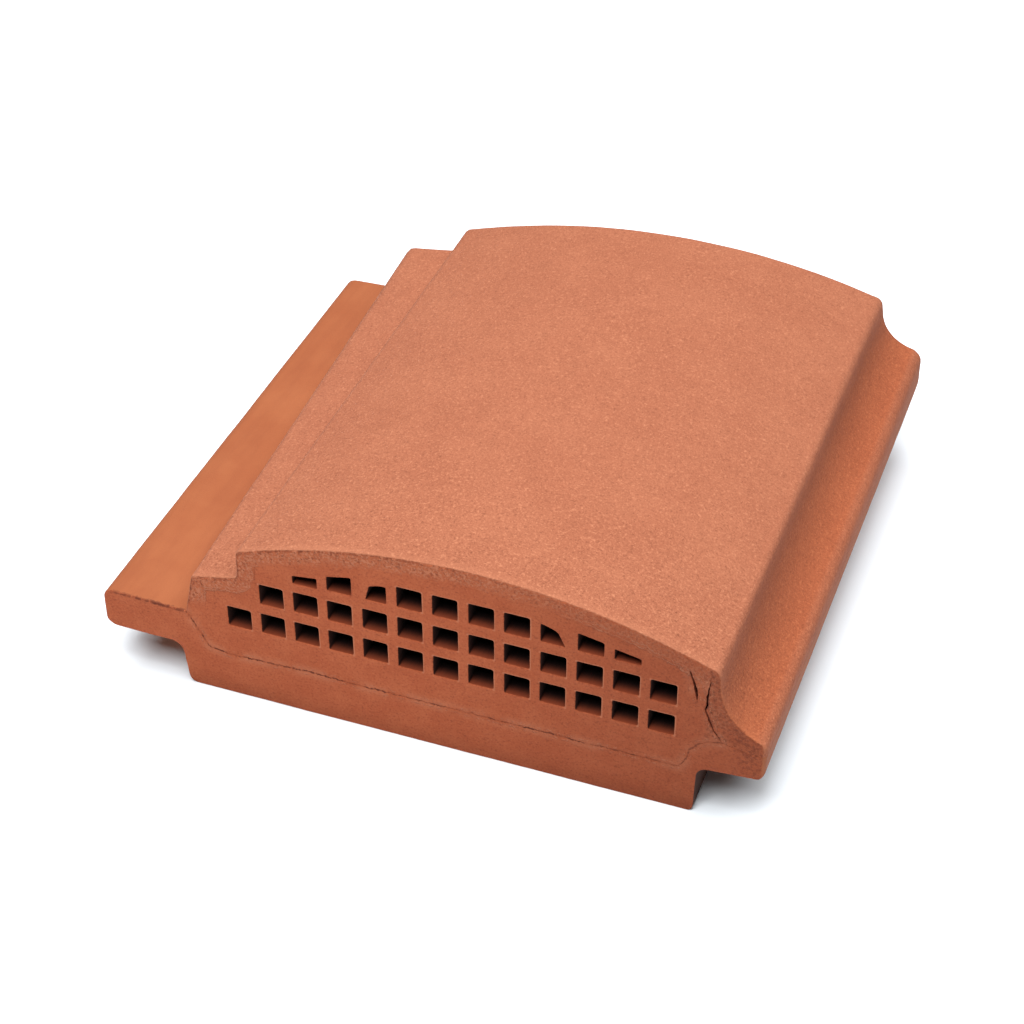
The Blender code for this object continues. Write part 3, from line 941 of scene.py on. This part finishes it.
def shelfClay(tree, place, look):
    # pressed clay, smooth to the touch, with a crumbling front arris and painted shade darkening the base's
    # right side under the cover
    across, along, up = split(place)
    blotches, fine, rough = clouds(place, look, "blotch", "grain", "ragged")
    streaks = stretched(place, look["streak"], 1.0, 0.15, 1.0)
    edge = plus(shaderAttribute(tree, "edgeDistance"), times(rough, 0.0030))
    # painted shade: the base's right side under the cover goes near black, fading out towards the back
    paintedFlankShade = times(
        remap(across, 0.126, 0.129), remap(up, 0.0315, 0.0295),
        remap(along, frontY + 0.04, frontY + 0.11, 0.85, 0.0),
    )
    color = layered(
        look, look["clay"],
        (remap(blotches, 0.3, 0.7, 0.0, 0.5), "pale"),
        (remap(streaks, 0.35, 0.75, 0.0, 0.35), "dark"),
        (remap(fine, 0.47, 0.30, 0.0, 0.22), "dark"),
        (shelfCrumbs(place, edge, 0.0029, 0.25, 0.8), "groove"),
        (paintedFlankShade, "deep"),
    )
    height = plus(times(fine, 0.00008), times(streaks, 0.00012))
    return color, blend(fine, look["roughness"], 0.85), height


def liningClay(tree, place, look):
    # inside the air holes: painted shade darkens the lining away from the mouth and on the left walls,
    # faintly streaked along the depth
    streaks = stretched(place, look["streak"], 1.0, 0.10, 1.0)
    fine = cloud(place, *look["grain"])
    depth = plus(minus(split(place)[1], frontY), times(streaks, 0.0012))
    # painted shade: near black on the left walls and away from the mouth
    paintedLeftWallShade = remap(shaderAttribute(tree, "acrossHole"), -0.5, -0.44, 0.85, 0.0)
    paintedDepthShade = remap(depth, 0.0, look["litDepth"])
    color = layered(look, look["mouth"], (paintedDepthShade, "deep"), (paintedLeftWallShade, "deep"))
    height = plus(times(streaks, 0.0002), times(fine, 0.0001))
    return color, blend(fine, look["roughness"], 0.97), height


def skinAndCut(name, skin, look):
    # the skin's own clay, with cut clay on the front and back faces
    material, tree = newMaterial(name)
    place = addNode(tree, "ShaderNodeTexCoord").outputs["Object"]
    y = split(place)[1]
    ends = maths("MINIMUM", minus(y, frontY), minus(backY, y))
    ragged = times(cloud(place, 0.002, 2.0), 0.0008)
    share = remap(plus(ends, ragged), 0.0005, 0.0010, 1.0, 0.0)
    onSkin, onCut = skin(tree, place, look), cutClay(tree, place, cutLook)
    roughness, height = (blend(share, onSkin[i], onCut[i]) for i in (1, 2))
    bump = addNode(tree, "ShaderNodeBump", {"Height": height, "Distance": 1.0, "Strength": 1.0})
    feedShader(tree, {
        "Base Color": blendColors(share, onSkin[0], onCut[0]), "Roughness": roughness,
        "Normal": bump.outputs[0], "Specular IOR Level": 0.25,
    })
    return material


hoodClay = skinAndCut("hoodClay", sandedClay, sandedLook)
baseClay = skinAndCut("baseClay", shelfClay, smoothLook)
grilleClay = skinAndCut("grilleClay", liningClay, liningLook)
print("clay materials ready")


# base tile

baseTile = {
    "relief": {"Broad depth": 0.00018, "Middle depth": 0.00006, "Grain depth": 0.00003,
               "Crumb depth": 0.00025},
    "rings": 130, "crowding": 1.2, "seamGap": 0.6, "seamLump": 5.0,
    "frontFace": (0.95, 11), "backFace": (2.0, 12),  # spacing of the points and their seed
}


def baseSection():
    under = softLine((
        (-43.6, 36.0, 0, 2.6), (-43.4, 24.7, 6.3, 2.6), (-2.2, 24.2, 6.5), (0.4, 0.0, 4.5), (60.0, 0.0),
    ))
    right = softLine((
        (196.0, 0.0), (258.2, 0.0, 3.0), (259.0, 28.0, 5.5), (290.3, 30.4, 4.0, -0.8, 6.5),
        (*seamEnd, 0, -0.8),
    ))
    spread = arch["ledgeSpread"]
    shelf = paired(
        softLine((ledgeFoot, (-10.0, 46.3), (-42.8, 47.0, 5.5), (-43.6, 36.0))),
        softLine(((2.0 - spread, 45.9), (-10.0 - spread * 0.7, 46.0), (-45.4, 46.2, 6.0), (-46.2, 36.0))),
    )
    loose = []
    for seed, part in enumerate((seamRight[::-1], seamPan[::-1], seamLeft[::-1])):
        uneven = wobble(part, baseTile["seamLump"], seed) + wobble(part, 1.5, seed + 7.0) / 2
        gaps = np.clip(baseTile["seamGap"] * uneven, 0.02, 0.3)
        loose.append(sideStep(part, -gaps * endFade(part)))
    return closedLoop(
        run(under, 1.2, 0.5), run(softLine(((60.0, 0.0), (196.0, 0.0))), 2.2, 0.3), run(right, 1.2, 0.15),
        *loose, run(shelf, 1.1, 0.7),
    )


def makeBaseTile():
    b = baseTile
    shape = joined(sweep("base", baseSection(), frontY, backY, baseClay, b["rings"], b["crowding"]))
    closeEnd(shape, frontY, -1, *b["frontFace"])
    closeEnd(shape, backY, 1, *b["backFace"])
    finishPiece("baseTile", shape, baseClay, b["relief"], baseSkew, "base_tile")


# perforated grille

ventGrille = {
    "relief": {"Broad depth": 0.00012, "Middle depth": 0.00006, "Grain depth": 0.00004, "Crumb depth": 0.0002,
               "Drag depth": 0.00012},
    "depth": grilleHigh.y - grilleLow.y, "rings": 12, "crowding": 1.6,
    "frontFace": (0.8, 21), "backFace": (3.0, 22),
    "rowPitch": 18.30, "columnPitch": 17.50, "firstColumn": 31.65, "bottomRow": 50.3, "rowTilt": 0.05,
    "columnBow": 0.0155, "rowBow": 0.015, "rowShift": 0.16,
    "holeWidth": 12.4, "holeHeight": 11.9, "archLimit": 15.3, "leastHeight": 1.0,
    "rowColumns": (range(0, 13), range(1, 13), range(2, 12)),
    "crackWidth": 1.6, "crackBWidth": 0.8,
}

# Holes that the luting clay has half filled: where their corners are, as shares of the full hole
smearedHoles = {
    (2, 2): {"tops": (0.37, 0.51, 0.0), "move": (0.4, -0.9)},
    (2, 3): {"tops": (0.67, 0.90, 0.0)},
    (2, 4): {"feet": (0.16, 1.0), "heads": (0.32, 1.0), "tops": (0.68, 0.84, 0.04)},
    (2, 9): {"feet": (0.0, 0.95), "heads": (0.0, 0.66), "tops": (0.88, 0.62, 0.03)},
    (2, 10): {"tops": (0.87, 0.67, 0.0)},
    (2, 11): {"tops": (0.50, 0.30, 0.0)},
}


def airHoles():
    # each hole: row and column, middle, foot, and how much the arch leaves of its two sides
    g = ventGrille
    for row, columns in enumerate(g["rowColumns"]):
        for column in columns:
            x = g["firstColumn"] + column * g["columnPitch"] - g["columnBow"] * (column - 7) ** 2
            x += row * g["rowShift"]
            z = g["bottomRow"] + row * g["rowPitch"] + column * g["rowTilt"]
            low = z - g["rowBow"] * (column - 6.5) ** 2 - g["holeHeight"] / 2
            heights = [archHeight(x + side * g["holeWidth"] / 2, g["archLimit"]) - low for side in (-1, 1)]
            yield (row, column), x, low, [min(1.0, height / g["holeHeight"]) for height in heights]


def holeRims():
    # the upper and right edges of the holes that are whole
    g = ventGrille
    chains = []
    for number, x, low, tops in airHoles():
        if number in smearedHoles or min(tops) < 0.5:
            continue
        left, right = x - g["holeWidth"] / 2, x + g["holeWidth"] / 2
        high = [low + top * g["holeHeight"] for top in tops]
        chains.append(frontChain(np.array(((left, high[0]), (right, high[1]), (right, low)))))
    return chains


def holePoints():
    g = ventGrille
    places, shapes = [], {"feet": [], "heads": [], "tops": []}
    for number, x, low, tops in airHoles():
        if min(tops) * g["holeHeight"] < g["leastHeight"]:
            continue
        special = smearedHoles.get(number, {})
        shapes["feet"].append((*special.get("feet", (0.0, 1.0)), 0.0))
        shapes["heads"].append((*special.get("heads", (0.0, 1.0)), 0.0))
        shapes["tops"].append(special.get("tops", (*tops, 0.0)))
        moveX, moveZ = special.get("move", (0.0, 0.0))
        z = low + g["holeHeight"] / 2
        places.append((bodyLeft + (x + moveX) * mm, 0.0, (z + moveZ) * mm))
    mesh = bpy.data.meshes.new("holePoints")
    mesh.from_pydata(places, [], [])
    for name, rows in (("centre", places), *shapes.items()):
        keep(mesh, name, np.array(rows))
    return mesh


def grilleSection():
    g = ventGrille
    share = np.linspace(0.0, 1.0, len(innerRight))
    opening = g["crackBWidth"] * np.interp(share, (0.15, 0.26, 0.42, 0.85, 1.0), (0.0, 0.45, 1.0, 1.0, 0.0))
    opening *= 1.0 + 0.6 * wobble(innerRight, 1.8, 5.0)
    parted = sideStep(innerRight, opening)
    line = run(softLine(lines["crackA"]), 0.6, 0.2)
    share = np.linspace(0.0, 1.0, len(line))
    half = g["crackWidth"] / 2 * np.interp(share, (0.0, 0.33, 0.6, 0.83, 1.0), (0.4, 0.55, 1.0, 0.7, 0.0))
    half *= 1.0 + 0.3 * wobble(line, 1.4, 9.0)
    rightSide, leftSide = sideStep(line, -half), sideStep(line, half)
    above = parted[(parted[:, 0] > rightSide[0, 0] + 0.3) | (parted[:, 1] < 80.0)]
    roof = innerArch[innerArch[:, 0] < leftSide[0, 0] - 0.3]
    return closedLoop(seamPan, above[::-1], rightSide, leftSide[::-1], roof[::-1], innerLeft[::-1])


def makeVentGrille():
    g = ventGrille
    grilleEnd = frontY + g["depth"]
    block = sweep(
        "block", grilleSection(), frontY, grilleEnd, grilleClay, g["rings"], g["crowding"], backArris=0.0,
    )
    values = {
        "Width": g["holeWidth"] * mm, "Height": g["holeHeight"] * mm, "Depth": g["depth"], "Front": frontY,
        "Clay": grilleClay,
    }
    linings = grow("linings", holePoints(), holeTree, values)
    shape = joined(block, linings)
    closeEnd(shape, frontY, -1, *g["frontFace"])
    closeEnd(shape, grilleEnd, 1, *g["backFace"])
    finishPiece("ventGrille", shape, grilleClay, g["relief"], hoodSkew, "vent_grille")


# hood

ventHood = {
    "relief": {"Broad depth": 0.00022, "Middle depth": 0.00008, "Grain depth": 0.00005,
               "Crumb depth": 0.00035},
    "rings": 125, "crowding": 1.25, "backWall": 10.0, "backRings": 10,
    "frontFace": (0.7, 31), "chamberFace": (4.0, 32), "backFace": (1.6, 33),
}


def makeVentHood():
    h = ventHood
    chamberEnd = backY - h["backWall"] * mm
    section = closedLoop(seamLeft, innerLeft, innerArch, innerRight, seamRight, hoodTop)
    shell = sweep("shell", section, frontY, chamberEnd, hoodClay, h["rings"], h["crowding"], backArris=0.0)
    section = closedLoop(seamLeft, seamPan, seamRight, hoodTop)
    backWall = sweep("backWall", section, chamberEnd, backY, hoodClay, h["backRings"], frontArris=0.0)
    shape = joined(shell, backWall)
    closeEnd(shape, frontY, -1, *h["frontFace"])
    closeEnd(shape, chamberEnd, -1, *h["chamberFace"])
    closeEnd(shape, backY, 1, *h["backFace"])
    finishPiece("ventHood", shape, hoodClay, h["relief"], hoodSkew, "hood")


makeBaseTile()
makeVentGrille()
makeVentHood()


# floor, light and camera

studio = {
    "floorSize": 8.0, "floor": paint(228, 234, 239), "worldStrength": 0.06,
    "softboxes": (
        {"place": (-0.05, -1.25, 2.3), "wide": 1.2, "deep": 1.2, "power": 60.0},
        {"place": (0.1, 0.4, 2.5), "wide": 3.6, "deep": 2.6, "power": 130.0},
    ),
    "aim": (0.0, 0.0, 0.05),
    "camera": (0.3075, -0.86805, 0.7405), "tilt": 52.022, "turn": 20.277, "lens": 77.97,
}


def makeStudio():
    s = studio
    mesh = bpy.data.meshes.new("floor")
    half = s["floorSize"] / 2
    corners = [(-half, -half, 0.0), (half, -half, 0.0), (half, half, 0.0), (-half, half, 0.0)]
    mesh.from_pydata(corners, [], [(0, 1, 2, 3)])
    floor = newObject("floor", mesh)
    material, tree = newMaterial("paleFloor")
    feedShader(tree, {"Base Color": s["floor"], "Roughness": 1.0, "Specular IOR Level": 0.0})
    mesh.materials.append(material)

    world = bpy.data.worlds.new("studio")
    bpy.context.scene.world = world
    world.use_nodes = True
    back = world.node_tree.nodes["Background"]
    back.inputs["Color"].default_value = (1.0, 1.0, 1.0, 1.0)
    back.inputs["Strength"].default_value = s["worldStrength"]

    for box in s["softboxes"]:
        light = bpy.data.lights.new("softbox", "AREA")
        light.shape = "RECTANGLE"
        light.size, light.size_y = box["wide"], box["deep"]
        light.energy = box["power"]
        lamp = newObject("softbox", light)
        lamp.location = box["place"]
        lamp.rotation_euler = (Vector(s["aim"]) - Vector(box["place"])).to_track_quat("-Z", "Y").to_euler()

    lens = bpy.data.cameras.new("camera")
    lens.lens = s["lens"]
    lens.sensor_width = 36.0
    camera = newObject("camera", lens)
    camera.location = s["camera"]
    camera.rotation_euler = (math.radians(s["tilt"]), 0.0, math.radians(s["turn"]))
    bpy.context.scene.camera = camera
    bpy.context.scene.view_settings.view_transform = "Standard"


makeStudio()
